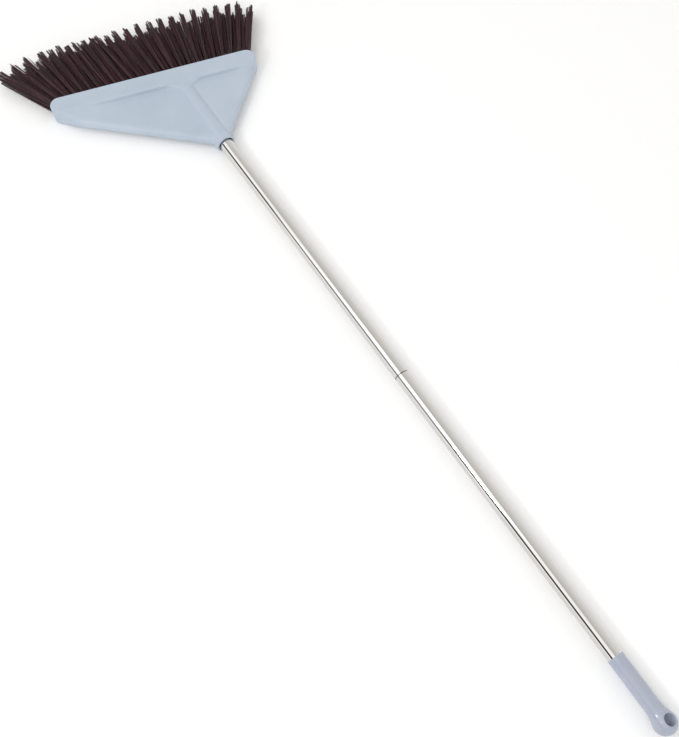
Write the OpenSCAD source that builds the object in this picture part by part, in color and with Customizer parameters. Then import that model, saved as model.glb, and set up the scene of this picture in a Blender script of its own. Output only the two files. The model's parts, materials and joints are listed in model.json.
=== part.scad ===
// Angle broom with a two-part screw pole, lying on its back.
// The origin is on the flat back of the head, under the pole's axis.
// +Y runs along the pole towards the bristles, +Z is the front of the head.

/* [Head] */
// Slant of the bristle edge from square to the pole, in degrees
edge_slant = 17; // [0:0.5:25]
// Reach of the head to the long side, along the bristle edge
reach_long = 210; // [160:1:280]
// Reach of the head to the short side, along the bristle edge
reach_short = 132; // [100:1:180]
// Radius that the outline sweeps round the long side's end with
round_long = 60; // [50:1:72]
// How far past the bristle edge the middle of that sweep lies
sweep_over = 4; // [0:1:12]
// Corner radius of the short side's end
round_short = 17; // [14:1:24]
// Length of the head on the pole's axis, from the bristle edge to the socket's mouth
head_len = 163; // [135:1:220]
// Width of the thick bar that holds the bristles
bar_w = 30; // [25:1:36]
// Thickness of the bar
bar_t = 34; // [28:1:41]
// Thickness of the thin panel behind the bar
panel_t = 18; // [15:1:22]
// Wall of the moulded head
wall = 2.4; // [1.8:0.1:3]

/* [Socket] */
// Wall of the socket, and of the rib that carries it on
socket_wall = 2.3; // [1.9:0.1:2.8]
// How far the lip round the mouth stands out, on the radius
lip_out = 1; // [0.5:0.1:2]
// Width of the lip along the pole
lip_w = 3; // [2:0.5:6]
// Depth of the wide mouth that the tube goes into
mouth_depth = 34; // [24:1:45]
// Play round the tube in the wide mouth, on the radius
mouth_gap = 1.7; // [0.5:0.1:2]

/* [Screw threads] */
// Wall of the threaded sleeve at the crest of its thread
sleeve_wall = 1.5; // [1.2:0.1:2]
// Depth of the thread
thread_depth = 1.8; // [1:0.1:2.4]
// Pitch of the thread
pitch = 6; // [4:0.5:8]
// Turns of thread on each stud
turns = 3.5; // [2:0.5:5]
// Play between the threads, on the radius
thread_gap = 0.45; // [0.35:0.05:0.6]

/* [Bristles] */
// Tufts along each odd row, the even rows having one less
tufts = 25; // [15:1:26]
// Plastic left between the holes of two rows
hole_wall = 0.9; // [0.7:0.1:1.5]
// Plastic left between the outer holes and the block's face
hole_edge = 1.3; // [1:0.1:2]
// Depth of a tuft's hole
hole_depth = 12; // [8:0.5:13]
// Free length of a tuft, out of the block
tuft_len = 121; // [60:1:160]
// How much wider a tuft is where it is cut than in its hole
tuft_flare = 2; // [0.5:0.1:2.5]
// How much shorter the last tuft of the short side is
end_trim = 14; // [0:1:30]
// Lean of the last tuft to the short side, in degrees
lean_short = 17; // [5:1:25]
// Lean of the tufts to the long side, in degrees
lean_long = 20; // [5:1:25]
// Further lean of the last tuft round the long side's end, in degrees
lean_corner = 20; // [10:1:30]

/* [Pole] */
// Outside diameter of the tubes
tube_d = 22; // [18.3:0.1:26.4]
// Wall of the tubes
tube_wall = 0.5; // [0.3:0.1:0.8]
// Length of the lower tube in view, from the socket to the seam
lower_view = 483; // [250:1:700]
// Length of the upper tube in view, from the seam to the grip
upper_view = 483; // [250:1:700]
// Thickness of the washer in the seam
seam_t = 1.2; // [0.8:0.1:2.5]
// Thickness of the washer in the socket
tip_washer_t = 1.5; // [1:0.1:2.5]
// Thickness of the tip's flange
flange_t = 3; // [2:0.5:5]
// Length of each plug inside its tube
plug_len = 25; // [15:1:40]

/* [Grip] */
// Wall of the grip's sleeve
grip_wall = 1; // [0.8:0.1:2]
// Length from the grip's edge to the middle of its ball
grip_len = 100; // [80:1:160]
// Solid plastic between the ball and the end of the tube
grip_stop = 11; // [5:1:20]
// Diameter of the ball
ball_d = 34; // [30:1:42]
// Radius of the hollow between sleeve and ball
waist_r = 60; // [40:5:120]
// Diameter of the hole for hanging
hang_d = 17; // [8:0.5:18]
// Width of the bevel round the hanging hole's rims
hang_bevel = 1.5; // [0.5:0.25:2.5]
// Turn of the hanging hole about the pole, from flat on the floor, in degrees
hang_turn = 68; // [0:1:90]

/* [Hidden] */
$fn = 64;
hull_fn = 32;
rim_fn = 16;
thread_fn = 16;
thread_steps = 12;
rows = 5;
play = 0.05;
block_play = 0.3;
past = 1;

// Sizes that follow the tube
tube_r = tube_d / 2;
bore_r = tube_r - tube_wall;
mouth_r = tube_r + mouth_gap;
socket_d = 2 * (mouth_r + socket_wall);
lip_d = socket_d + 2 * lip_out;
thread_d = 2 * (bore_r - play - sleeve_wall - thread_gap);
plug_wall = 4.45;
grip_d = tube_d + 2 * grip_wall;
grip_depth = grip_len - ball_d / 2 - grip_stop;

// The pole's axis lies at the height at which the bar, the ball and the lip all rest
axis_z = max(bar_t, ball_d, lip_d) / 2;
edge_v = bar_w / 2;
// Levels along the pole are kept to whole tenths, so that stacked pieces meet exactly
mouth_y = round(10 * (edge_v / cos(edge_slant) - head_len)) / 10;
neck_over = 1.5;
neck_back = 19;
neck_r = socket_d / 2 + neck_over;
neck_y = mouth_y + neck_back;
bar_round = 5;
rim_cut = 0.5;
bar_end_long = bar_w / 2 - reach_long;
bar_end_short = reach_short - bar_w / 2;
panel_inset = 6;
panel_wall = panel_t / 2 - wall;
bar_hollow = bar_t / 2 - wall;

// The rows and their holes share out the thickness of the block
row_gap = (bar_hollow + hole_wall / 2 - hole_edge) / (rows / 2);
hole_d = row_gap - hole_wall;
tuft_tip_d = hole_d + tuft_flare;

// The screws sit in bosses on the block's back, clear of the cover's own back wall
block_r = bar_w / 2 - wall - block_play;
block_floor = 3.5;
block_back = block_r - hole_depth - block_floor;
boss_set = 1.5;
boss_r = 4.5;
boss_v = max(block_back - boss_set, wall + block_play + boss_r - bar_w / 2);
screw_margin = 30;
screw_r = 1.75;
screw_head_r = 3.6;
screw_head_h = 2.2;
screw_len = 15;
screw_bite = 0.3;
screw_sink = 0.4;
recess_r = 2;
recess_w = 0.8;
recess_h = 1.6;
screws = 4;
screw_step = (bar_end_short - bar_end_long - 2 * screw_margin) / (screws - 1);
screw_us = [for (i = [0 : screws - 1]) bar_end_long + screw_margin + i * screw_step];

// Anchors: one flat staple at the bottom of each tuft's hole
anchor_t = 0.5;
anchor_h = 2;
anchor_bite = 0.3;
anchor_w = hole_d + 2 * anchor_bite;

thread_r = (thread_d - thread_depth) / 2;
stud_len = pitch * turns;
thread_run = 3;
bore_end = 6;
washer_bore = thread_d / 2 + thread_gap;
seat_y = mouth_y + mouth_depth;
tube_start = seat_y - tip_washer_t - flange_t;
seam_y = mouth_y - lower_view;
upper_start = seam_y - seam_t;
grip_y = upper_start - upper_view;
tube_end = grip_y - grip_depth;
ball_y = grip_y - grip_len;
plug_core = bore_r - play - plug_wall;
plug_floor = 2;
edge_cut = 0.5;

// Tuft places run along the block's face from the short side, then round the long side's end
first_past = 4;
first_u = bar_end_short + first_past;
face_drop = 4;
trim_zone = 0.2;
corner_turn = 50;
corner_zone = 45;
corner_len = block_r * corner_turn * PI / 180;
face_len = first_u - bar_end_long + corner_len;
tuft_step = face_len / (tufts - 1);

// Point given along (u) and square to (v) the bristle edge, as x and y
function at_edge(u, v) = [u * cos(edge_slant) + v * sin(edge_slant),
    v * cos(edge_slant) - u * sin(edge_slant)];

// The head's outline is three circles and the straight lines that touch them, cut at the bristle edge
corners = [[[0, neck_y], neck_r],
    [at_edge(reach_short - round_short, edge_v - round_short), round_short],
    [at_edge(round_long - reach_long, edge_v + sweep_over), round_long]];

// The two ends of the line that touches circles p and q on their right-hand side
function touch(p, q, inset) =
    let (d = q[0] - p[0], a = atan2(d[1], d[0]) - acos((p[1] - q[1]) / norm(d)), n = [cos(a), sin(a)])
    [p[0] + (p[1] - inset) * n, q[0] + (q[1] - inset) * n];

module outline(inset) {
    difference() {
        union() {
            polygon([for (i = [0 : 2]) each touch(corners[i], corners[(i + 1) % 3], inset)]);
            for (c = corners)
                translate(c[0]) circle(c[1] - inset);
        }
        rotate([0, 0, -edge_slant]) past_edge_plan(edge_v - inset);
    }
}

// Everything past a line along the bristle edge, to cut the outline off there
module past_edge_plan(v) {
    translate([-reach_long - past, v]) square([reach_long + reach_short + 2 * past, 2 * round_long]);
}

// A disc with a round rim
module cushion(r, t, round) {
    rotate_extrude($fn = hull_fn)
        translate([r - round, 0])
            intersection() {
                for (z = [-1, 1])
                    translate([0, z * (t / 2 - round)]) circle(round, $fn = rim_fn);
                translate([0, -t / 2]) square([round, t]);
            }
}

// Places a piece that is drawn along +Z on the pole's axis, pointing to the bristles
module on_axis(y) {
    translate([0, y, axis_z]) rotate([-90, 0, 0]) children();
}

// The same, pointing to the grip
module on_axis_back(y) {
    translate([0, y, axis_z]) rotate([90, 0, 0]) children();
}

// Turns a piece drawn square to the bristle edge, at the height of the pole's axis
module on_edge() {
    translate([0, 0, axis_z]) rotate([0, 0, -edge_slant]) children();
}

// Round rope thread, right-handed, with play added to its radius. Threads with the same mark mesh
module thread(from, len, gap, mark) {
    on_axis(from) rotate([0, 0, 360 * (from - mark) / pitch])
        linear_extrude(len, twist = -360 * len / pitch, slices = ceil(len / pitch * thread_steps), $fn = 0)
            translate([thread_depth / 2, 0]) circle(thread_r + gap, $fn = thread_fn);
}

// Bar between two round ends, drawn along the bristle edge
module bar_plan(r) {
    for (u = [bar_end_long, bar_end_short])
        translate([u, 0]) circle(r);
    translate([bar_end_long, -r]) square([bar_end_short - bar_end_long, 2 * r]);
}

module head_skin() {
    difference() {
        translate([0, 0, axis_z])
            hull()
                for (c = corners)
                    translate(c[0]) cushion(c[1], panel_t, panel_t / 2 - rim_cut);
        on_edge() translate([0, 0, -panel_t]) linear_extrude(2 * panel_t) past_edge_plan(0);
    }
    on_edge()
        hull()
            for (u = [bar_end_long, bar_end_short])
                translate([u, 0]) cushion(bar_w / 2, bar_t, bar_round);
    on_axis(mouth_y) cylinder(h = -mouth_y, d = socket_d);
    on_axis(mouth_y) cylinder(h = lip_w, d = lip_d);
}

module head_hollow() {
    difference() {
        union() {
            translate([0, 0, axis_z - panel_wall])
                linear_extrude(2 * panel_wall) outline(panel_inset);
            on_edge() translate([0, 0, -bar_hollow]) {
                linear_extrude(2 * bar_hollow) bar_plan(bar_w / 2 - wall);
                // Opens the hollow towards the bristles
                translate([bar_end_long - bar_w / 2 + wall, 0, 0])
                    cube([bar_end_short - bar_end_long + bar_w - 2 * wall, bar_w, 2 * bar_hollow]);
                // Lets the last tufts out round the long side's end
                translate([bar_end_long - bar_w / 2 - past, block_r * cos(corner_turn) - hole_d / 2, 0])
                    cube([bar_w / 2, bar_w, 2 * bar_hollow]);
            }
        }
        on_axis(mouth_y) cylinder(h = mouth_depth + stud_len + bore_end, d = socket_d);
    }
    on_axis(seat_y + stud_len + bore_end)
        cylinder(h = -seat_y - stud_len - bore_end, d = socket_d - 2 * wall);
}

module screw(r, extra) {
    translate([0, 0, screw_sink]) {
        translate([0, 0, -extra]) cylinder(h = extra + 0.01, r = screw_head_r);
        cylinder(h = screw_head_h, r1 = screw_head_r, r2 = r);
        cylinder(h = screw_len, r = r);
    }
}

module at_screws() {
    for (u = screw_us)
        translate(concat(at_edge(u, boss_v), axis_z - bar_t / 2)) children();
}

module head_cover() {
    color("#bcc8d8")
        difference() {
            head_skin();
            head_hollow();
            on_axis(mouth_y - past) cylinder(h = mouth_depth + past, r = mouth_r);
            thread(seat_y - past, stud_len + thread_run + past, thread_gap, seat_y);
            at_screws() screw(screw_r, screw_sink + past);
        }
}

module bristle_block() {
    color("#8f9aa8")
        difference() {
            on_edge() translate([0, 0, -bar_hollow])
                linear_extrude(2 * bar_hollow) {
                    intersection() {
                        bar_plan(block_r);
                        translate([-reach_long, block_back]) square([reach_long + reach_short, bar_w]);
                    }
                    for (u = screw_us)
                        translate([u, boss_v]) circle(boss_r);
                }
            at_screws() cylinder(h = screw_sink + screw_len + past, r = screw_r - screw_bite);
            for (row = [1 : rows]) at_tufts(row)
                cylinder(h = hole_depth + 2 * bar_w, d = hole_d, $fn = hull_fn);
        }
}

module block_screws() {
    color("#9a9da0")
        difference() {
            at_screws() screw(screw_r, 0);
            // Cross recess
            at_screws() for (a = [45, 135])
                rotate([0, 0, a]) translate([-recess_r, -recess_w / 2, 0])
                    cube([2 * recess_r, recess_w, screw_sink + recess_h]);
        }
}

// Place of a tuft on the block's face: u, v and lean from square to the edge
function tuft_place(s) =
    let (lean = min(s / face_len * 2, 1) * (lean_long + lean_short) - lean_short
            + max(0, 1 - (face_len - s) / corner_zone) * lean_corner,
        round = max(0, s - (face_len - corner_len)) / block_r * 180 / PI)
    round == 0
        ? [first_u - s, block_r - max(0, first_u - s - bar_end_short) / face_drop, lean]
        : [bar_end_long - block_r * sin(round), block_r * cos(round), lean];

function tuft_length(s) = tuft_len - end_trim * pow(max(0, 1 - s / face_len / trim_zone), 2);

// Puts its children at the bottom of each hole of one row, pointing out of the hole
module at_tufts(row) {
    odd = row % 2;
    for (i = [0 : tufts - 2 + odd]) {
        s = (i + (1 - odd) / 2) * tuft_step;
        p = tuft_place(s);
        on_edge()
            translate([p[0], p[1], (row - (rows + 1) / 2) * row_gap])
                rotate([0, 0, p[2]]) rotate([-90, 0, 0])
                    translate([0, 0, -hole_depth]) {
                        $tuft_out = tuft_length(s);
                        children();
                    }
    }
}

module tufts_row(row) {
    color("#3c2227")
        at_tufts(row)
            translate([0, 0, anchor_h]) {
                cylinder(h = hole_depth - anchor_h, d = hole_d - 2 * play, $fn = hull_fn);
                translate([0, 0, hole_depth - anchor_h])
                    cylinder(h = $tuft_out, d1 = hole_d - 2 * play, d2 = tuft_tip_d, $fn = hull_fn);
            }
}

module anchors_row(row) {
    color("#a8a9a4")
        at_tufts(row)
            translate([-anchor_t / 2, -anchor_w / 2, 0]) cube([anchor_t, anchor_w, anchor_h]);
}

module tube(from, len) {
    color("#d4d4d2")
        on_axis(from)
            difference() {
                cylinder(h = len, r = tube_r);
                translate([0, 0, -past]) cylinder(h = len + 2 * past, r = bore_r);
            }
}

module washer(from, len) {
    color("#33363a")
        on_axis(from)
            difference() {
                cylinder(h = len, r = tube_r);
                translate([0, 0, -past]) cylinder(h = len + 2 * past, r = washer_bore);
            }
}

// Plug inside a tube's end, hollow from behind, pointing to the bristles
module plug() {
    difference() {
        translate([0, 0, -plug_len]) cylinder(h = plug_len, r = bore_r - play);
        translate([0, 0, -plug_len - past]) cylinder(h = plug_len - plug_floor, r = plug_core);
    }
}

module pole_tip() {
    color("#2f3338")
        on_axis(tube_start) {
            plug();
            cylinder(h = flange_t, r = tube_r);
            translate([0, 0, flange_t]) cylinder(h = tip_washer_t, r = thread_r);
        }
    color("#2f3338")
        thread(seat_y - tip_washer_t, tip_washer_t + stud_len, 0, seat_y);
}

module joint_plug() {
    color("#2f3338") {
        on_axis_back(seam_y) plug();
        thread(upper_start - stud_len, stud_len + seam_t, 0, seam_y);
    }
}

module joint_sleeve() {
    len = stud_len + bore_end;
    color("#2f3338")
        difference() {
            on_axis(upper_start - len) cylinder(h = len, r = bore_r - play);
            thread(upper_start - stud_len - thread_run, stud_len + thread_run + past, thread_gap, seam_y);
        }
}

// Points on an arc about a centre, from one angle to another
function arc(centre, r, from, to, steps) =
    [for (i = [0 : steps]) let (a = from + (to - from) * i / steps) centre + r * [cos(a), sin(a)]];

// Half section of the grip: ball, then the hollow that touches ball and sleeve, then the sleeve
module grip_profile() {
    sleeve_r = grip_d / 2;
    ball_r = ball_d / 2;
    waist = [sleeve_r + waist_r, sqrt(pow(ball_r + waist_r, 2) - pow(sleeve_r + waist_r, 2))];
    touch_a = atan2(waist[1], waist[0]);
    polygon(concat(arc([0, 0], ball_r, -90, touch_a, 24), arc(waist, waist_r, 180 + touch_a, 180, 8),
        [[sleeve_r, grip_len - edge_cut], [sleeve_r - edge_cut, grip_len], [0, grip_len]]));
}

module hang_cut() {
    r = hang_d / 2;
    rim_h = sqrt(pow(ball_d / 2, 2) - pow(r + hang_bevel, 2));
    cylinder(h = 2 * ball_d, r = r, center = true);
    for (side = [0, 1])
        mirror([0, 0, side])
            translate([0, 0, rim_h - hang_bevel]) cylinder(h = ball_d, r1 = r, r2 = r + ball_d);
}

module grip() {
    color("#a9b3c6")
        on_axis(ball_y)
            difference() {
                rotate_extrude() grip_profile();
                translate([0, 0, grip_len - grip_depth])
                    cylinder(h = grip_depth + past, r = tube_r + play);
                rotate([0, 0, -hang_turn]) rotate([0, 90, 0]) hang_cut();
            }
}

head_cover();
bristle_block();
block_screws();
tufts_row(1);  // tufts_row_1
tufts_row(2);  // tufts_row_2
tufts_row(3);  // tufts_row_3
tufts_row(4);  // tufts_row_4
tufts_row(5);  // tufts_row_5
anchors_row(1);  // anchors_row_1
anchors_row(2);  // anchors_row_2
anchors_row(3);  // anchors_row_3
anchors_row(4);  // anchors_row_4
anchors_row(5);  // anchors_row_5
pole_tip();
washer(seat_y - tip_washer_t, tip_washer_t);  // tip_washer
tube(seam_y, tube_start - seam_y);  // lower_tube
joint_plug();
washer(upper_start, seam_t);  // seam_washer
joint_sleeve();
tube(tube_end, upper_start - tube_end);  // upper_tube
grip();
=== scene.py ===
# %% [markdown]
# # An angle broom, piece by piece
# A broom looks simple, and that is what makes it a good lesson: one moulded head, some five
# and a half thousand bristles, two polished tubes and a grip. Every piece in sight is shaped with
# mesh operators and painted with procedural materials, round a mechanical model that already fits
# together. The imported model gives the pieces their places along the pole.

# %% Load the frame and keep its box
import json
import math
import random

import bmesh
import bpy
from mathutils import Matrix, Vector


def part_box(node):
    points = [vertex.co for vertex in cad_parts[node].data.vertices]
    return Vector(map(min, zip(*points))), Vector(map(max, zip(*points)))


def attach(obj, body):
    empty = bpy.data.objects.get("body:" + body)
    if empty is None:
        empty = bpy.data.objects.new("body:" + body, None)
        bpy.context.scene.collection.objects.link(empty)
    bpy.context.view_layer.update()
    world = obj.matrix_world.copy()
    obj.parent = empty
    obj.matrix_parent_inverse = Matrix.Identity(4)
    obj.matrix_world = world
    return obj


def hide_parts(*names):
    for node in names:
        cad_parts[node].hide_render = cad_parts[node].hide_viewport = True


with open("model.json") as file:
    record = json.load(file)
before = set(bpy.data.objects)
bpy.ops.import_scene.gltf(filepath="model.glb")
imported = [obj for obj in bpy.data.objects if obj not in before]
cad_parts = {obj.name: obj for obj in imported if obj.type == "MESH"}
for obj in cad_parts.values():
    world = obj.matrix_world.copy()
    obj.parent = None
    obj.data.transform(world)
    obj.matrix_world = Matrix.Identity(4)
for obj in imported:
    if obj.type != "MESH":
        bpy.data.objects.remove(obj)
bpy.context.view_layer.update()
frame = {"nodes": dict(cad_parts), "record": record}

MM = 0.001

# %% [markdown]
# ## Places that the model already knows
# The head is drawn square to its bristle edge, and that edge is slanted to the pole by an angle
# from the drawing. The main levels are read back from the model, as the lowest and highest corners
# of its nodes. Reading them keeps the looks tied to the design when a length of the pole changes.

# %% Read the main places from the model
tube_low, tube_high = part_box("lower_tube")
grip_low, grip_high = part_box("grip")
seat_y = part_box("tip_washer")[1].y
seam_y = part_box("seam_washer")[1].y

slant = math.radians(17)
axis_z = (tube_low.z + tube_high.z) / 2
tube_radius = (tube_high.z - tube_low.z) / 2
mouth_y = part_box("head_cover")[0].y
ball_radius = (grip_high.x - grip_low.x) / 2
ball_y = grip_low.y + ball_radius
on_edge = Matrix.Translation((0, 0, axis_z)) @ Matrix.Rotation(-slant, 4, "Z")
print("pole axis at", round(axis_z / MM, 1), "mm, mouth at", round(mouth_y / MM, 1), "mm")

# %% [markdown]
# ## Camera
# The broom lies on its back and the camera looks down on it from beside the grip, so that the pole
# runs across the picture from the near corner to the far one. A short telephoto keeps the near
# grip from swelling. The camera's three axes are written as a matrix: right, up and backwards.

# %% Set the camera
sensor = 36
lens_to_sensor = 1100 / 737
camera_data = bpy.data.cameras.new("camera")
camera_data.sensor_width = sensor
camera_data.lens = lens_to_sensor * sensor
camera = bpy.data.objects.new("camera", camera_data)
bpy.context.collection.objects.link(camera)
bpy.context.scene.camera = camera
camera_place = Vector((-0.398, mouth_y - 0.941, axis_z + 1.484))
looks_along = Vector((0.2052, 0.3222, -0.9242)).normalized()
picture_right = Vector((0.8276, -0.5612, -0.0119))
picture_right = (picture_right - looks_along * picture_right.dot(looks_along)).normalized()
picture_up = picture_right.cross(looks_along)
camera.matrix_world = Matrix.Translation(camera_place) @ Matrix((
    (picture_right.x, picture_up.x, -looks_along.x, 0),
    (picture_right.y, picture_up.y, -looks_along.y, 0),
    (picture_right.z, picture_up.z, -looks_along.z, 0),
    (0, 0, 0, 1)))
print("camera stands", round(camera_place.z, 2), "m above the floor")

# %% [markdown]
# ## Floor and light
# A plain pale floor and one soft sky are enough for moulded plastic. Polished steel needs more: it
# shows what stands round it. So the sky has a bright panel beside a dark gap and is greyer over the
# rest, and two soft boxes stand on the left. A mirror-like tube with nothing to mirror looks like
# paper.

# %% Lay the floor
floor_half = 6
floor_gap = 0.5 * MM
floor_mesh = bpy.data.meshes.new("floor")
floor_shape = bmesh.new()
bmesh.ops.create_grid(floor_shape, x_segments=1, y_segments=1, size=floor_half)
floor_shape.to_mesh(floor_mesh)
floor_shape.free()
floor = bpy.data.objects.new("floor", floor_mesh)
floor.location.z = -floor_gap
bpy.context.collection.objects.link(floor)
print("floor laid", round(floor.dimensions.x, 1), "m wide")


# %% Helpers for colours and nodes
def colour(hex_text):
    """An sRGB hex colour as linear red, green, blue and alpha."""
    channels = [int(hex_text[i:i + 2], 16) / 255 for i in (1, 3, 5)]
    return [c / 12.92 if c <= 0.04045 else ((c + 0.055) / 1.055) ** 2.4 for c in channels] + [1]


def add_node(tree, kind, settings=None, links=None):
    """Adds a node. Settings name its properties or its inputs, links join its inputs to outputs."""
    made = tree.nodes.new(kind)
    for name, value in (settings or {}).items():
        if isinstance(name, int) or name in made.inputs:
            made.inputs[name].default_value = value
        else:
            setattr(made, name, value)
    for name, source in (links or {}).items():
        tree.links.new(source, made.inputs[name])
    return made


print("pale blue-grey in linear light:", [round(c, 3) for c in colour("#b6c1cf")])

# %% Light the scene
world = bpy.data.worlds.new("studio")
world.use_nodes = True
bpy.context.scene.world = world
sky = world.node_tree
sky.nodes.clear()
sky_way = add_node(sky, "ShaderNodeTexCoord")
sky_split = add_node(sky, "ShaderNodeSeparateXYZ", links={0: sky_way.outputs["Generated"]})
sky_angle = add_node(sky, "ShaderNodeMath", {"operation": "ARCTAN2"},
                     {0: sky_split.outputs["X"], 1: sky_split.outputs["Z"]})
sky_place = add_node(sky, "ShaderNodeMapRange", {"From Min": -math.pi / 2, "From Max": math.pi / 2},
                     {"Value": sky_angle.outputs[0]})
sky_ramp = add_node(sky, "ShaderNodeValToRGB", links={0: sky_place.outputs[0]})
# Angles about the pole in degrees, from the left (-90) over the top to the right (90), with the
# brightness that the studio shows there: a dark gap beside a bright panel, then a plain ceiling.
studio = [(-90, "#e8e8e8"), (-76, "#f0f0f0"), (-73, "#0a0a09"), (-54, "#0a0a09"), (-51, "#dcdcda"),
          (-40, "#ffffff"), (-14, "#ffffff"), (-10, "#c4c3c1"), (12, "#bdbcba"), (30, "#cbcac8"),
          (60, "#d2d1cf"), (90, "#dadad8")]
while len(sky_ramp.color_ramp.elements) < len(studio):
    sky_ramp.color_ramp.elements.new(0.5)
for stop, (degrees, shade) in zip(sky_ramp.color_ramp.elements, studio):
    stop.position = (degrees + 90) / 180
    stop.color = colour(shade)
sky_strength = 1.42
sky_light = add_node(sky, "ShaderNodeBackground", {"Strength": sky_strength},
                     {"Color": sky_ramp.outputs[0]})
add_node(sky, "ShaderNodeOutputWorld", links={0: sky_light.outputs[0]})


def soft_box(name, place, target, size, watts):
    """A rectangular soft light at a place, turned to face a target."""
    data = bpy.data.lights.new(name, "AREA")
    data.shape = "RECTANGLE"
    data.size, data.size_y = size
    data.energy = watts
    lamp = bpy.data.objects.new(name, data)
    lamp.location = place
    lamp.rotation_euler = (Vector(target) - Vector(place)).to_track_quat("-Z", "Y").to_euler()
    bpy.context.collection.objects.link(lamp)


soft_box("key", place=(-1.6, 0.2, 2.2), target=(0, -0.4, 0), size=(1.2, 2.6), watts=7)
soft_box("lamp", place=(-1.17, -0.54, 1.2), target=(0, -1.21, 0), size=(0.16, 0.24), watts=5)
bpy.context.scene.view_settings.view_transform = "Standard"

# %% [markdown]
# ## From a bmesh to a piece
# Every piece is built in a bmesh, the editable mesh behind Blender's edit mode. One helper turns
# it into an object, gives it a finish, says which body of the broom carries it and hides the plain
# node that it stands for. Faces are smooth, and only edges that turn sharply stay crisp.

# %% Helpers for pieces
def crease(mesh, crisp=40):
    """Smooths all faces of a mesh, and keeps edges crisp that turn more than crisp degrees."""
    shape = bmesh.new()
    shape.from_mesh(mesh)
    for face in shape.faces:
        face.smooth = True
    for edge in shape.edges:
        if len(edge.link_faces) == 2:
            edge.smooth = edge.calc_face_angle() < math.radians(crisp)
    shape.to_mesh(mesh)
    shape.free()


def as_object(name, shape):
    """Makes an object of a bmesh, with its faces outwards."""
    bmesh.ops.recalc_face_normals(shape, faces=shape.faces)
    mesh = bpy.data.meshes.new(name)
    shape.to_mesh(mesh)
    shape.free()
    made = bpy.data.objects.new(name, mesh)
    bpy.context.collection.objects.link(made)
    return made


def settle(piece, body, node, slot, crisp=40):
    """Finishes a piece, ties it to its body and hides the node of the model that it replaces."""
    crease(piece.data, crisp)
    piece.data.materials.clear()
    piece.data.materials.append(finishes[slot])
    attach(piece, body)
    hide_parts(node)
    print(piece.name, "has", len(piece.data.polygons), "faces")


def apply_modifiers(piece):
    """Turns the piece's live modifiers into plain mesh."""
    shown = piece.evaluated_get(bpy.context.evaluated_depsgraph_get())
    mesh = bpy.data.meshes.new_from_object(shown)
    piece.modifiers.clear()
    piece.data = mesh


def cut(piece, tool, operation="DIFFERENCE"):
    """Cuts a piece with a tool, joins the two or keeps what both hold, and removes the tool."""
    saw = piece.modifiers.new("saw", "BOOLEAN")
    saw.operation = operation
    saw.solver = "EXACT"
    saw.object = tool
    apply_modifiers(piece)
    bpy.data.objects.remove(tool)


def add_shape(target, part):
    """Adds one bmesh to another and frees it."""
    scrap = bpy.data.meshes.new("scrap")
    part.to_mesh(scrap)
    part.free()
    target.from_mesh(scrap)
    bpy.data.meshes.remove(scrap)


print("helpers ready")

# %% [markdown]
# ## Finishes
# No piece of the broom is a flat colour. Moulded plastic drifts a little in shade and carries the
# pebble of its mould, steel keeps the fine lines of polishing, and bristle is streaked along its
# length. Each finish is wired from the same few nodes: noise in the object's own metres, scaled
# from a size in millimetres, drives the colour, the roughness and a small bump.

# %% Helper for finishes
finishes = {}


def finish(slot, name, low, high, rough, grain, relief, stretch=(1, 1, 1), **sockets):
    """A material whose colour and roughness drift between two values, with a fine relief.

    grain is the size of its two patterns in mm, relief the height of its bump in mm and stretch
    scales the pattern along each axis. Further values go straight to the shader's sockets.
    """
    made = bpy.data.materials.new(name)
    made.use_nodes = True
    tree = made.node_tree
    shader = tree.nodes["Principled BSDF"]
    for socket, value in sockets.items():
        shader.inputs[socket.replace("_", " ")].default_value = value
    where = add_node(tree, "ShaderNodeTexCoord")
    drawn = add_node(tree, "ShaderNodeMapping", {"Scale": stretch}, {"Vector": where.outputs["Object"]})
    broad = add_node(tree, "ShaderNodeTexNoise", {"Scale": 1 / (grain[0] * MM), "Detail": 3.0},
                     {"Vector": drawn.outputs[0]})
    fine = add_node(tree, "ShaderNodeTexNoise", {"Scale": 1 / (grain[1] * MM), "Detail": 2.0},
                    {"Vector": drawn.outputs[0]})
    shade = add_node(tree, "ShaderNodeValToRGB", links={0: broad.outputs["Fac"]})
    for stop, (place, shade_hex) in zip(shade.color_ramp.elements, ((0.3, low), (0.7, high))):
        stop.position = place
        stop.color = colour(shade_hex)
    tree.links.new(shade.outputs["Color"], shader.inputs["Base Color"])
    spread = add_node(tree, "ShaderNodeMapRange", {"To Min": rough[0], "To Max": rough[1]},
                      {"Value": fine.outputs["Fac"]})
    tree.links.new(spread.outputs[0], shader.inputs["Roughness"])
    bump = add_node(tree, "ShaderNodeBump", {"Strength": 1.0, "Distance": relief * MM},
                    {"Height": fine.outputs["Fac"]})
    tree.links.new(bump.outputs["Normal"], shader.inputs["Normal"])
    finishes[slot] = made


print("finish helper ready")

# %% Plastics
# Polypropylene from a satin mould: even, pale, with a broad soft highlight.
finish("head_plastic", "moulded_polypropylene_satin", "#aebac9", "#b6c1cf", rough=(0.38, 0.5),
       grain=(60, 0.5), relief=0.012, IOR=1.49)
# The same plastic from a smoother mould, one shade deeper: a small sharp highlight on the ball.
finish("grip_plastic", "moulded_polypropylene_gloss", "#a4aaba", "#abb1c0", rough=(0.06, 0.1),
       grain=(30, 0.6), relief=0.003, IOR=1.49)
# The same plastic for the block, duller and darker: painted shade for the dark line behind the lip.
finish("block_plastic", "moulded_polypropylene_painted_shade", "#7c8693", "#8a94a1", rough=(0.45, 0.6),
       grain=(20, 0.6), relief=0.02, IOR=1.49)
# Carbon black polypropylene of the threads: nearly black, waxy.
finish("dark_plastic", "moulded_polypropylene_black", "#1c1e21", "#26282c", rough=(0.35, 0.5),
       grain=(15, 0.5), relief=0.01, IOR=1.49)
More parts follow.
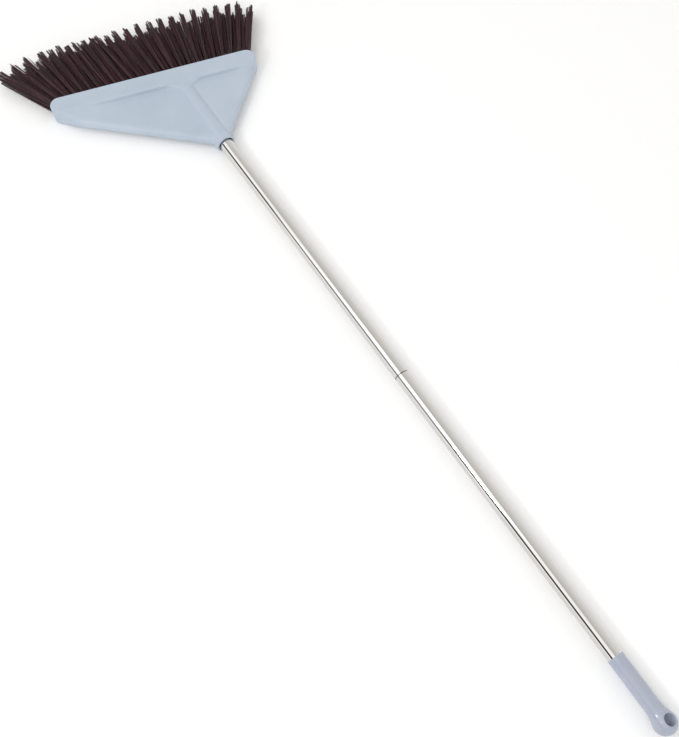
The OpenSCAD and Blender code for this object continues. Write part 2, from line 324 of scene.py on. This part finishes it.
# Rubber washers: black with a dry bloom.
finish("washer_rubber", "moulded_rubber", "#1d1e20", "#2a2b2e", rough=(0.65, 0.85), grain=(6, 0.4),
       relief=0.02, IOR=1.52)

# %% Bristle
# Drawn polymer filament: dark maroon, glossy along its length, streaked from one strand to the next.
finish("bristle", "drawn_polymer_bristle", "#1c090d", "#461822", rough=(0.25, 0.45),
       grain=(2.2, 0.7), relief=0.03, stretch=(1, 0.06, 1), IOR=1.53)

# %% Metals
# Stainless tube, polished along its length: bright, with fine lines that stretch the reflections.
finish("pole_steel", "polished_stainless_steel", "#cfcdca", "#dad9d6", rough=(0.05, 0.1),
       grain=(25, 0.25), relief=0.001, stretch=(1, 0.02, 1), Metallic=1.0)
# Zinc plated steel of the screws: bluish, a little cloudy.
finish("screw_steel", "zinc_plated_steel", "#a9adb2", "#bcc0c4", rough=(0.25, 0.4), grain=(3, 0.3),
       relief=0.01, Metallic=1.0)
# Galvanised flat wire of the anchors: dull grey spangle.
finish("anchor_wire", "galvanised_wire", "#8d8f8f", "#a5a7a6", rough=(0.4, 0.55), grain=(2, 0.3),
       relief=0.01, Metallic=1.0)
print("finishes:", sorted(finishes))

# %% [markdown]
# ## Pieces that keep the model's own mesh
# The block, its screws and the wire anchors are flat faced and crisp already, and mostly hidden.
# They keep the mesh of the model and only get a better finish.

# %% Finish the hidden pieces
for node in ["bristle_block", "block_screws"] + [f"anchors_row_{row}" for row in range(1, 6)]:
    slot = next(p["material_slot"] for p in frame["record"]["subparts"] if p["node"] == node)
    mesh = frame["nodes"][node].data
    for index in range(len(mesh.materials)):
        mesh.materials[index] = finishes[slot]
    print("finished", node, "with", finishes[slot].name)

# %% [markdown]
# ## The head's outline
# The moulder's drawing of this head would be four circles and the lines that touch them: the neck
# round the socket, a small round at the short end, the bar's own end at the long side, and a wide
# sweep behind it that stops at the bar's middle line. The same circles, stacked at a few heights
# and wrapped by a convex hull, give a slab with a round rim.

# %% Name the head's driving sizes
reach_long = 210 * MM
reach_short = 132 * MM
round_long = 60 * MM
sweep_over = 4 * MM
round_short = 17 * MM
bar_half = 15 * MM
bar_depth = 17 * MM
panel_depth = 9 * MM
socket_radius = 15 * MM
lip_radius = 16 * MM
lip_width = 3 * MM
mouth_radius = tube_radius + 1.7 * MM
wall = 2.4 * MM
bar_from = bar_half - reach_long
bar_to = reach_short - bar_half
neck_over = 1.5 * MM
neck_radius = socket_radius + neck_over
neck_back = 19 * MM


def off_edge(x, y):
    """A point of the plan, as distances along and square to the bristle edge."""
    return (x * math.cos(slant) - y * math.sin(slant), x * math.sin(slant) + y * math.cos(slant))


outline = [(*off_edge(0, mouth_y + neck_back), neck_radius),
           (reach_short - round_short, bar_half - round_short, round_short),
           (bar_from, 0, bar_half)]
sweep = (round_long - reach_long, bar_half + sweep_over, round_long)
print("outline circles in mm:", [[round(c / MM, 1) for c in circle] for circle in outline])


def rounded_hull(circles, rim, steps=6):
    """A solid about the middle plane, wrapped round circles (u, v, radius, half depth).

    A circle can end at a line along the bristle edge, which is then its fifth value.
    """
    shape = bmesh.new()
    for u, v, radius, depth, *limit in circles:
        for side in (-1, 1):
            for step in range(steps + 1):
                angle = math.pi / 2 * step / steps
                height = side * (depth - rim * (1 - math.sin(angle)))
                place = Matrix.Translation((u, v, height))
                reach = radius - rim * (1 - math.cos(angle))
                ring = bmesh.ops.create_circle(shape, segments=64, radius=reach, matrix=place)
                for vert in ring["verts"]:
                    vert.co.y = min([vert.co.y] + limit)
    bmesh.ops.convex_hull(shape, input=shape.verts)
    bmesh.ops.delete(shape, geom=[v for v in shape.verts if not v.link_faces], context="VERTS")
    return shape


def round_bar(from_y, to_y, radius):
    """A plain round bar along the middle of the pole, for joining and cutting."""
    shape = bmesh.new()
    place = Matrix.Translation((0, (from_y + to_y) / 2, 0)) @ Matrix.Rotation(math.pi / 2, 4, "X")
    bmesh.ops.create_cone(shape, cap_ends=True, segments=128, radius1=radius, radius2=radius,
                          depth=abs(to_y - from_y), matrix=place)
    return shape


to_edge = Matrix.Rotation(slant, 4, "Z")
on_axis = Matrix.Translation((0, 0, axis_z))

# %% [markdown]
# ## Spinning on the pole's axis
# Washers, tubes and the grip are all turned shapes: a closed half profile, spun once round. The
# screw threads are a spin as well, of a circle that stands off the axis and moves one pitch along
# for each turn. Such a rope thread has no sharp crest, so it screws in easily and never chips.

# %% Helpers for turned shapes
pitch = 6 * MM
thread_depth = 1.8 * MM
thread_radius = 7.6 * MM
thread_gap = 0.45 * MM
thread_steps = 24


def spun(profile, segments=128, placed=on_axis):
    """Spins a closed half profile of (radius, y) points once round."""
    shape = bmesh.new()
    points = [shape.verts.new((radius, y, 0)) for radius, y in profile]
    edges = [shape.edges.new((a, b)) for a, b in zip(points, points[1:] + points[:1])]
    bmesh.ops.spin(shape, geom=points + edges, cent=(0, 0, 0), axis=(0, 1, 0), angle=math.tau,
                   steps=segments, use_merge=True)
    bmesh.ops.remove_doubles(shape, verts=shape.verts, dist=1e-6)
    bmesh.ops.dissolve_degenerate(shape, edges=shape.edges, dist=1e-7)
    bmesh.ops.transform(shape, matrix=placed, verts=shape.verts)
    return shape


def ring_profile(inner, outer, low, high, edge):
    """Half profile of a ring or a tube, with its four edges broken."""
    return [(inner, low + edge), (inner + edge, low), (outer - edge, low), (outer, low + edge),
            (outer, high - edge), (outer - edge, high), (inner + edge, high), (inner, high - edge)]


def arc(centre, radius, start, stop, steps):
    """Points of an arc in a half profile, as (radius, y)."""
    angles = [start + (stop - start) * step / steps for step in range(steps + 1)]
    return [(centre[0] + radius * math.cos(a), centre[1] + radius * math.sin(a)) for a in angles]


def rope_thread(from_y, length, radius, mark):
    """A right-handed rope thread. Threads with the same mark lie in mesh."""
    shape = bmesh.new()
    phase = math.tau * (from_y - mark) / pitch
    place = (Matrix.Translation((0, from_y, 0)) @ Matrix.Rotation(phase, 4, "Y")
             @ Matrix.Translation((thread_depth / 2, 0, 0)) @ Matrix.Rotation(math.pi / 2, 4, "X"))
    bmesh.ops.create_circle(shape, segments=40, radius=radius, matrix=place)
    steps = round(length / pitch * thread_steps)
    bmesh.ops.spin(shape, geom=shape.verts[:] + shape.edges[:], cent=(0, from_y, 0), axis=(0, 1, 0),
                   dvec=(0, length / steps, 0), angle=math.tau * length / pitch, steps=steps)
    bmesh.ops.holes_fill(shape, edges=[e for e in shape.edges if e.is_boundary], sides=0)
    bmesh.ops.transform(shape, matrix=on_axis, verts=shape.verts)
    return shape


print("one turn of thread is", pitch / MM, "mm long")

# %% [markdown]
# ## Moulded head
# A moulder rounds every inside corner, so that the plastic flows and the part is strong. Here the
# panel, the bar, its two ramps, two gussets and the socket's rib are plain solids. A voxel remesh
# melts them into one skin, and some passes of smoothing leave soft fillets where they meet.

# %% Melt the panel, bar and rib together
panel_rim = 8.4 * MM
melted = rounded_hull([(*outline[0], panel_depth), (*outline[1], panel_depth),
                       (*sweep, panel_depth, 0)], panel_rim)

# The bar stands past the bristle edge here, and is trimmed to it later.
overhang = 8 * MM
short_overhang = 2 * MM
bar_rim = 4 * MM
long_end = (bar_from, 0, bar_half, bar_depth)
short_end = (bar_to, 0, bar_half, bar_depth)
add_shape(melted, rounded_hull([long_end, short_end,
                                (bar_from - overhang, overhang, bar_half, bar_depth),
                                (bar_to + short_overhang, overhang, bar_half, bar_depth)], bar_rim))

# The ramps let the step behind the bar fade out towards both ends. Both start at the bar's full
# depth and end in a small circle that stands half a millimetre out of the panel.
long_ramp, short_ramp = 100 * MM, 30 * MM
ramp_back = 14 * MM
ramp_tip = (6 * MM, 9.5 * MM)
shoulder = (bar_from + 20 * MM, -16 * MM, 14 * MM, 12 * MM)
short_depth = 15 * MM
long_rim, short_rim = 6 * MM, 5.5 * MM
add_shape(melted, rounded_hull([long_end, shoulder,
                                (bar_from + long_ramp, -ramp_back, *ramp_tip)], long_rim))
add_shape(melted, rounded_hull([short_end, (*outline[1], short_depth),
                                (bar_to - short_ramp, -ramp_back, *ramp_tip)], short_rim))

# Gussets round the two corners between the bar and the rib. Their corners are (u, v) in mm.
gusset_radius = 5.5 * MM
gusset_depth = 14 * MM
gusset_rim = 5 * MM
for corners in (((-21, -11), (2, -8), (3, -21)), ((31, -11), (8, -8), (14, -20))):
    circles = [(u * MM, v * MM, gusset_radius, gusset_depth) for u, v in corners]
    add_shape(melted, rounded_hull(circles, gusset_rim))

rib_over = 8 * MM
rib = round_bar(mouth_y - rib_over, 0, socket_radius)
bmesh.ops.transform(rib, matrix=to_edge, verts=rib.verts)
add_shape(melted, rib)
voxel = 1.2 * MM
smooth_passes = 15
head_shell = as_object("head_shell", melted)
remesh = head_shell.modifiers.new("melt", "REMESH")
remesh.mode = "VOXEL"
remesh.voxel_size = voxel
soften = head_shell.modifiers.new("soften", "SMOOTH")
soften.factor = 0.5
soften.iterations = smooth_passes
apply_modifiers(head_shell)
head_shell.data.transform(on_edge)
print("melted head:", len(head_shell.data.polygons), "faces")

# %% [markdown]
# ## Trim, hollow and bore the head
# The lip along the bristles and the socket's mouth are the crisp places of the head. They are cut
# after the smoothing, by keeping what lies inside the exact outline. Then the hollow for the block,
# the wide mouth and the thread are taken out, as the cores of the mould do.

# %% Trim the lip and hollow the head
trim_depth = bar_depth + 0.2 * MM
trim_rim = 1.2 * MM
trim_shape = rounded_hull([(*circle, trim_depth) for circle in outline] + [(*sweep, trim_depth, 0)],
                          trim_rim)
bmesh.ops.transform(trim_shape, matrix=on_edge, verts=trim_shape.verts)
trim = as_object("trim", trim_shape)
barrel_from = mouth_y + 0.7 * MM
barrel = round_bar(barrel_from, mouth_y + 2 * neck_back, neck_radius)
bmesh.ops.transform(barrel, matrix=on_axis, verts=barrel.verts)
cut(trim, as_object("barrel", barrel), "UNION")
cut(head_shell, trim, "INTERSECT")

lip_round = 0.8 * MM
lip_inner = mouth_radius - 1 * MM
lip_turn = lip_radius - lip_round
lip_top = mouth_y + lip_width
collar = spun([(lip_inner, mouth_y)]
              + arc((lip_turn, mouth_y + lip_round), lip_round, -math.pi / 2, 0, 4)
              + arc((lip_turn, lip_top - lip_round), lip_round, 0, math.pi / 2, 4)
              + [(lip_inner, lip_top)])
cut(head_shell, as_object("collar", collar), "UNION")

core_round = (bar_half - wall, bar_depth - wall)
core_flare = 3 * MM
core_rim = 0.3 * MM
hollow_shape = rounded_hull([(bar_from, 0, *core_round), (bar_to, 0, *core_round),
                             (bar_from - core_flare, 2 * bar_half, *core_round),
                             (bar_to, 2 * bar_half, *core_round)], core_rim)
bmesh.ops.transform(hollow_shape, matrix=on_edge, verts=hollow_shape.verts)
cut(head_shell, as_object("hollow", hollow_shape))
mouth_over = 5 * MM
mouth = round_bar(mouth_y - mouth_over, seat_y, mouth_radius)
bmesh.ops.transform(mouth, matrix=on_axis, verts=mouth.verts)
cut(head_shell, as_object("mouth", mouth))
core_from = seat_y - 1 * MM
core_len = 25 * MM
thread_core = rope_thread(core_from, core_len, thread_radius + thread_gap, seat_y)
cut(head_shell, as_object("thread_core", thread_core))
settle(head_shell, "head", "head_cover", "head_plastic", crisp=35)

# %% [markdown]
# ## Bristles
# The filler machine folds a bunch of filaments round a flat anchor and shoots it into its hole, so
# each tuft comes out as a tight bundle that opens towards its cut end. A few tuft shapes are made
# once, from thin five-sided bars that gather in clumps, and are placed many times. About half of
# them face the other way, so that neighbours seldom look alike.

# %% Build the tuft shapes
tufts = 25
rows = 5
row_gap = 5.5 * MM
hole_depth = 12 * MM
hole_radius = 2.1 * MM
tuft_len = 121 * MM
end_trim = 14 * MM
block_radius = 12.3 * MM
first_u = bar_to + 4 * MM
corner_turn = math.radians(50)
corner_len = block_radius * corner_turn
face_len = first_u - bar_from + corner_len
tuft_step = face_len / (tufts - 1)
filaments = 46
filament_radius = 0.42 * MM
filament_taper = 0.85
half_width = 4.8 * MM
half_height = 2.6 * MM
clump_places = (-0.8, -0.4, 0, 0.4, 0.8)


def add_filament(shape, root, tip, bow):
    """Adds one slightly bowed filament to a tuft, from its root to its cut end."""
    way = tip - root
    turn = way.to_track_quat("Z", "Y").to_matrix().to_4x4()
    bar = bmesh.ops.create_cone(shape, cap_ends=True, segments=5, radius1=filament_radius,
                                radius2=filament_radius * filament_taper, depth=way.length,
                                matrix=Matrix.Translation((root + tip) / 2) @ turn)
    edges = dict.fromkeys(e for v in bar["verts"] for e in v.link_edges)
    sides = [e for e in edges if e.calc_length() > way.length / 2]
    cuts = bmesh.ops.subdivide_edges(shape, edges=sides, cuts=3)
    for vert in cuts["geom_inner"]:
        if isinstance(vert, bmesh.types.BMVert):
            along = (vert.co - root).dot(way) / way.length_squared
            vert.co += bow * math.sin(math.pi * along)


def tuft_shape(seed):
    """A tuft that points along Z and spreads along X, with its root at the bottom of its hole."""
    chance = random.Random(seed)
    shape = bmesh.new()
    # Each clump has a place in the cut end and a shortfall: more at the sides, and some by chance.
    clumps = []
    for place in clump_places:
        clumps.append((Vector(((place + chance.gauss(0, 0.1)) * half_width,
                               chance.uniform(-0.8, 0.8) * half_height, 0)),
                       (6 * abs(place) ** 3 + chance.uniform(0, 5)) * MM))
    # Each filament starts in the hole and is drawn most of the way to one of the clumps.
    for _ in range(filaments):
        way = chance.uniform(0, math.tau)
        root = Vector((math.cos(way), math.sin(way), 0)) * hole_radius * math.sqrt(chance.uniform(0, 1))
        pull, short = chance.choice(clumps)
        tip = root * 0.3 + pull + Vector((chance.gauss(0, 0.6), chance.gauss(0, 0.3), 0)) * MM
        root.x = root.x * 0.4 + pull.x * 0.2
        root.z = 2 * MM
        tip.z = hole_depth + tuft_len - short - abs(chance.gauss(0, 2.2)) * MM
        bow = Vector((pull.x * 0.12, chance.gauss(0, 0.4) * MM, 0))
        add_filament(shape, root, tip, bow)
    return shape


tuft_meshes = []
for seed in range(8):
    drawn = tuft_shape(seed)
    mesh = bpy.data.meshes.new(f"tuft_shape_{seed}")
    drawn.to_mesh(mesh)
    drawn.free()
    tuft_meshes.append(mesh)
print("tuft shapes:", len(tuft_meshes), "of", len(tuft_meshes[0].polygons), "faces each")

# %% [markdown]
# ## Rows of tufts
# The tufts stand in five rows, with the even rows set half a step across to close the gaps. They
# lean towards the long side, more and more, and the last few go round the end of the block like
# spokes. That fan is what lets an angle broom reach into a corner.

# %% Place the tufts
lean_first = 17
lean_gain = 37
fan_gain = 20
fan_len = 45 * MM
even_cut = 16 * MM
ragged = 6
lean_spread = 0.008
tilt_spread = 0.006
turn_spread = 0.15


def tuft_place(s):
    """Place on the block's face (u, v) and lean in radians, at a distance s from the short end."""
    fan = max(0, 1 - (face_len - s) / fan_len) * fan_gain
    lean = math.radians(min(2 * s / face_len, 1) * lean_gain - lean_first + fan)
    turned = max(0, s - (face_len - corner_len)) / block_radius
    if turned == 0:
        return first_u - s, block_radius - max(0, first_u - s - bar_to) / 4, lean
    return bar_from - block_radius * math.sin(turned), block_radius * math.cos(turned), lean


for row in range(1, rows + 1):
    chance = random.Random(100 + row)
    bundle = bmesh.new()
    odd = row % 2
    for index in range(tufts - 1 + odd):
        s = (index + (1 - odd) / 2) * tuft_step
        u, v, lean = tuft_place(s)
        length = tuft_len - end_trim * max(0, 1 - 5 * s / face_len) ** 2
        short = (1 - odd) * even_cut + chance.uniform(0, ragged) * MM
        place = (on_edge @ Matrix.Translation((u, v, (row - 3) * row_gap))
                 @ Matrix.Rotation(lean + chance.gauss(0, lean_spread), 4, "Z")
                 @ Matrix.Rotation(-math.pi / 2 + chance.gauss(0, tilt_spread), 4, "X")
                 @ Matrix.Translation((0, 0, -hole_depth))
                 @ Matrix.Rotation(math.pi * chance.randint(0, 1) + chance.gauss(0, turn_spread), 4, "Z")
                 @ Matrix.Diagonal((1, 1, (hole_depth + length - short) / (hole_depth + tuft_len), 1)))
        known = len(bundle.verts)
        bundle.from_mesh(chance.choice(tuft_meshes))
        bundle.verts.ensure_lookup_table()
        bmesh.ops.transform(bundle, matrix=place, verts=bundle.verts[known:])
    settle(as_object(f"bristles_row_{row}", bundle), "head", f"tufts_row_{row}", "bristle", crisp=80)

# %% [markdown]
# ## Tubes of the pole
# Each length of the pole is a welded and polished stainless tube with a half millimetre wall. Its
# ends are cut square and lightly rolled. The washers are punched from rubber sheet.

# %% Spin the tubes and washers
tube_wall = 0.5 * MM
tube_edge = 0.12 * MM
washer_edge = 0.2 * MM
for name, node, body in (("lower_steel_tube", "lower_tube", "lower_pole"),
                         ("upper_steel_tube", "upper_tube", "upper_pole")):
    low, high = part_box(node)
    tube = spun(ring_profile(tube_radius - tube_wall, tube_radius, low.y, high.y, tube_edge))
    settle(as_object(name, tube), body, node, "pole_steel")

washer_bore = thread_radius + thread_depth / 2 + thread_gap
for name, node, body in (("tip_rubber_washer", "tip_washer", "tip_ring"),
                         ("seam_rubber_washer", "seam_washer", "seam_ring")):
    low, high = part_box(node)
    washer = spun(ring_profile(washer_bore, tube_radius, low.y, high.y, washer_edge))
    settle(as_object(name, washer), body, node, "washer_rubber")

# %% [markdown]
# ## Screw pieces
# The tip and the plug are moulded in black: a hollow plug that is pressed into the tube, a flange
# on the tip, and the threaded stud. The sleeve inside the upper tube is the plug's partner.

# %% Spin the tip, the plug and the sleeve
fit_gap = 0.05 * MM
press = tube_radius - tube_wall - fit_gap
core = 6 * MM
web = 2 * MM
plug_len = 25 * MM
stud_len = 21 * MM
stub = thread_radius - thread_depth / 2
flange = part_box("lower_tube")[1].y
washer_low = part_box("tip_washer")[0].y
tip = spun([(core, flange - plug_len), (press, flange - plug_len), (press, flange), (tube_radius, flange),
            (tube_radius, washer_low), (stub, washer_low), (stub, seat_y), (0, seat_y), (0, flange - web),
            (core, flange - web)])
add_shape(tip, rope_thread(washer_low, seat_y - washer_low + stud_len, thread_radius, seat_y))
settle(as_object("threaded_tip", tip), "lower_pole", "pole_tip", "dark_plastic")

seam_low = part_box("seam_washer")[0].y
plug = spun([(core, seam_y + plug_len), (press, seam_y + plug_len), (press, seam_y), (stub, seam_y),
             (stub, seam_low), (0, seam_low), (0, seam_y + web), (core, seam_y + web)])
add_shape(plug, rope_thread(seam_low - stud_len, seam_y - seam_low + stud_len, thread_radius, seam_y))
settle(as_object("threaded_plug", plug), "lower_pole", "joint_plug", "dark_plastic")

sleeve_low, sleeve_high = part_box("joint_sleeve")
sleeve = as_object("threaded_sleeve", spun([(0, sleeve_low.y), (press, sleeve_low.y),
                                            (press, sleeve_high.y), (0, sleeve_high.y)]))
spare_end, spare_len = 3 * MM, 4 * MM
sleeve_core = rope_thread(sleeve_high.y - stud_len - spare_end, stud_len + spare_len,
                          thread_radius + thread_gap, seam_y)
cut(sleeve, as_object("sleeve_core", sleeve_core))
settle(sleeve, "upper_pole", "joint_sleeve", "dark_plastic")

# %% [markdown]
# ## Grip
# The grip is one moulding: a sleeve that is pressed on the tube, a waist and a ball with a hole
# to hang it by. The half profile is spun, and the hole is cut across the ball with a pin that
# flares out at both ends, like the core pin of the mould, so that its rims come out rounded.

# %% Spin and bore the grip
sleeve_radius = tube_radius + 1 * MM
waist_radius = 60 * MM
waist_x = sleeve_radius + waist_radius
waist_y = math.sqrt((ball_radius + waist_radius) ** 2 - waist_x ** 2)
touch = math.atan2(waist_y, waist_x)
grip_end = grip_high.y
grip_depth = 72 * MM
edge_round = 0.4 * MM
bore = tube_radius + fit_gap
skin = arc((0, ball_y), ball_radius, -math.pi / 2, touch, 48)
skin += arc((waist_x, ball_y + waist_y), waist_radius, math.pi + touch, math.pi, 20)[1:]
skin += arc((sleeve_radius - edge_round, grip_end - edge_round), edge_round, 0, math.pi / 2, 4)
skin += [(bore, grip_end), (bore, grip_end - grip_depth), (0, grip_end - grip_depth)]
grip = as_object("grip_with_ball", spun(skin))

hang_radius = 8.5 * MM
hang_turn = math.radians(68)
rim = 1.5 * MM
flare_y = math.sqrt(ball_radius ** 2 - (hang_radius + rim) ** 2)
reach = 10 * MM
pin_radius = hang_radius + rim + reach
half = [(hang_radius, 0)] + arc((hang_radius + rim, flare_y - rim), rim, math.pi, math.pi / 2, 6)
half += [(pin_radius, flare_y), (pin_radius, flare_y + reach), (0, flare_y + reach)]
pin_profile = [(radius, -y) for radius, y in reversed(half[1:])] + half[1:]
aim = (Matrix.Translation((0, ball_y, axis_z)) @ Matrix.Rotation(-hang_turn, 4, "Y")
       @ Matrix.Rotation(math.pi / 2, 4, "Z"))
cut(grip, as_object("core_pin", spun(pin_profile, 96, aim)))
settle(grip, "upper_pole", "grip", "grip_plastic", crisp=30)

# %% [markdown]
# ## Floor finish
# The floor is painted board: almost white and quite dull, so that it carries only soft shadows.

# %% Paint the floor
painted_board = bpy.data.materials.new("painted_board")
painted_board.use_nodes = True
floor_shader = painted_board.node_tree.nodes["Principled BSDF"]
floor_shader.inputs["Base Color"].default_value = colour("#fdfdfd")
floor_shader.inputs["Roughness"].default_value = 0.9
floor_mesh.materials.append(painted_board)
print("floor finish:", painted_board.name)
